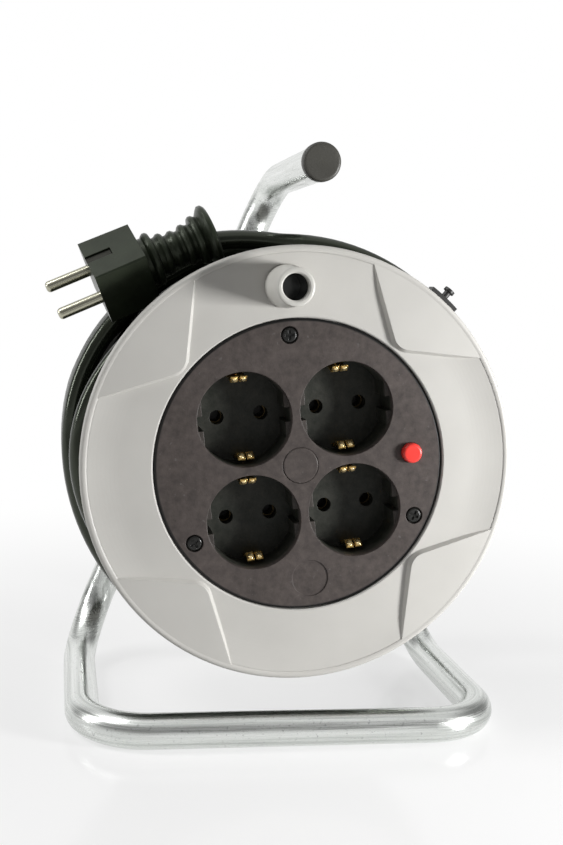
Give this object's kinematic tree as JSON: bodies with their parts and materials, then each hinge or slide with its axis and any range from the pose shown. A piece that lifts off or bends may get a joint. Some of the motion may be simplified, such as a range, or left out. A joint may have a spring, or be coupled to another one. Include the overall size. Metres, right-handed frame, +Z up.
{
  "type": "extension cord reel",
  "caption": "Extension cord reel with earthed sockets on a grey drum, a reset button, a winding knob and a bent steel tube stand with carrying handle.",
  "frame": {"origin": "on the floor, under the middle of the stand and drum", "axes": "+X to the right as seen from the sockets, +Y to the back, +Z up"},
  "size_m": [0.2061, 0.152, 0.2532],
  "materials": {
    "zinc_tube": "bright zinc plate",
    "steel": "zinc plate",
    "grey_plastic": "satin",
    "dark_plastic": "fine texture",
    "black_plastic": "satin",
    "black_rubber": "semi-gloss",
    "plug_rubber": "matte",
    "red_plastic": "gloss",
    "brass": "bright",
    "nylon": "natural",
    "phenolic": "moulded",
    "nickel": "nickel plate"
  },
  "bodies": {
    "stand": {"stand_tube": "zinc_tube", "handle_cap": "black_plastic", "leg_cap": "black_plastic", "axle_bracket": "steel", "bracket_screws": "steel", "axle": "steel", "axle_nut": "steel", "axle_washer": "steel", "axle_ring": "steel"},
    "drum": {"front_flange": "grey_plastic", "drum_barrel": "black_plastic", "rear_flange": "grey_plastic", "hub_bush": "nylon", "drum_screws": "steel", "socket_plate": "dark_plastic", "plate_screws": "black_plastic", "centre_cap": "dark_plastic", "earth_clip_1": "brass", "earth_clip_2": "brass", "earth_clip_3": "brass", "earth_clip_4": "brass", "line_bar": "brass", "neutral_bar": "brass", "socket_cover": "black_plastic", "cover_screw": "steel", "thermal_cutout": "phenolic", "knob_pin": "black_plastic", "cable_clip": "black_plastic", "cord_clamp": "black_plastic", "inner_lead": "black_rubber", "cable_core": "black_rubber", "cable_layer": "black_rubber", "cable_winding": "black_rubber", "plug_body": "plug_rubber", "plug_pins": "nickel", "plug_earth": "nickel"},
    "knob": {"winding_knob": "grey_plastic"},
    "button": {"reset_button": "red_plastic"}
  },
  "joints": [
    {"name": "drum_spin", "type": "hinge", "parent": "stand", "child": "drum", "pos_m": [-0.0036, -0.05405, 0.1205], "axis": [0, 1, 0], "range_deg": [-95, 30]},
    {"name": "knob_spin", "type": "hinge", "parent": "drum", "child": "knob", "pos_m": [-0.01377, -0.05405, 0.1938], "axis": [0, 1, 0], "continuous": true},
    {"name": "button_press", "type": "slide", "parent": "drum", "child": "button", "axis": [0, 1, 0], "range_m": [0, 0.0025]}
  ]
}
